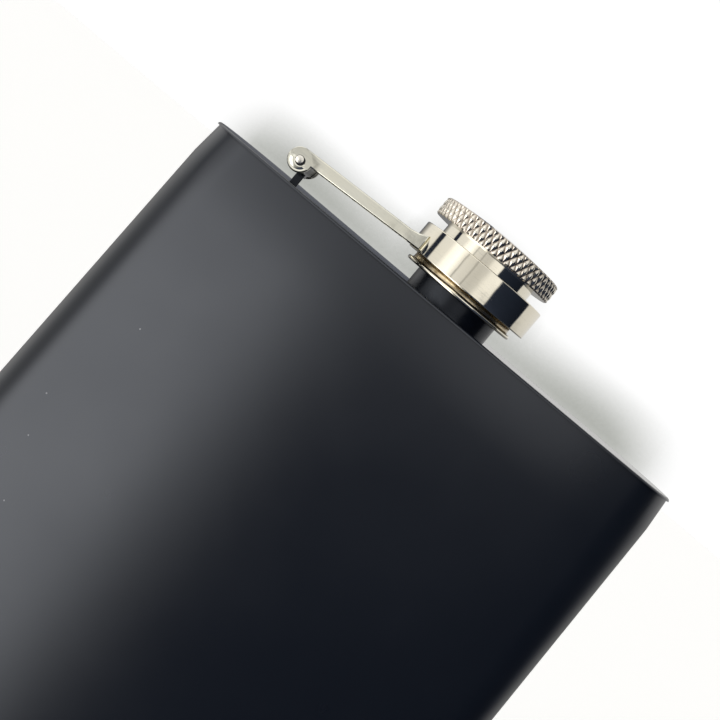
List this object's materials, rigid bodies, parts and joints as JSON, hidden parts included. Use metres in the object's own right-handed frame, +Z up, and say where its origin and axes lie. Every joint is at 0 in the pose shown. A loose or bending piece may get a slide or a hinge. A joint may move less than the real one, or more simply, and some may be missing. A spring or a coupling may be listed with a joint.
{
  "type": "hip flask",
  "caption": "Slim curved metal flask with a matte coated body, a short neck and a knurled screw cap kept captive by a hinged arm and swivel ring.",
  "frame": {"origin": "on the surface that the flask stands on, under the middle of the body's bounding box", "axes": "+Z up from the base through the mouth, +X across the width away from the hinge, -Y out of the bulging front face"},
  "size_m": [0.0972, 0.0265, 0.1433],
  "materials": {
    "black_coat": "matte black powder coat over steel sheet",
    "coated_neck": "matte black coat on the collar, plain steel thread above it",
    "steel_pin": "turned steel, end faces polished",
    "nickel": "polished warm nickel plate with fine hairline scratches",
    "nickel_grip": "nickel plate over a diamond knurl, crown polished",
    "white_plastic": "moulded natural plastic",
    "seal": "translucent silicone"
  },
  "bodies": {
    "flask": {"body_shell": "black_coat", "top_panel": "black_coat", "bottom_panel": "black_coat", "neck_spout": "coated_neck", "hinge_bracket": "black_coat"},
    "arm": {"cap_arm": "nickel", "swivel_ring": "nickel", "hinge_pin": "steel_pin"},
    "cap": {"cap_sleeve": "nickel", "cap_head": "nickel_grip", "cap_liner": "white_plastic", "cap_gasket": "seal"}
  },
  "joints": [
    {"name": "arm_swing", "type": "hinge", "parent": "flask", "child": "arm", "pos_m": [-0.03085, -0.00227, 0.1324], "axis": [0, -1, 0], "range_deg": [0, 180]},
    {"name": "cap_turn", "type": "hinge", "parent": "arm", "child": "cap", "pos_m": [0, -0.00227, 0.136], "axis": [0, 0, 1], "continuous": true}
  ]
}
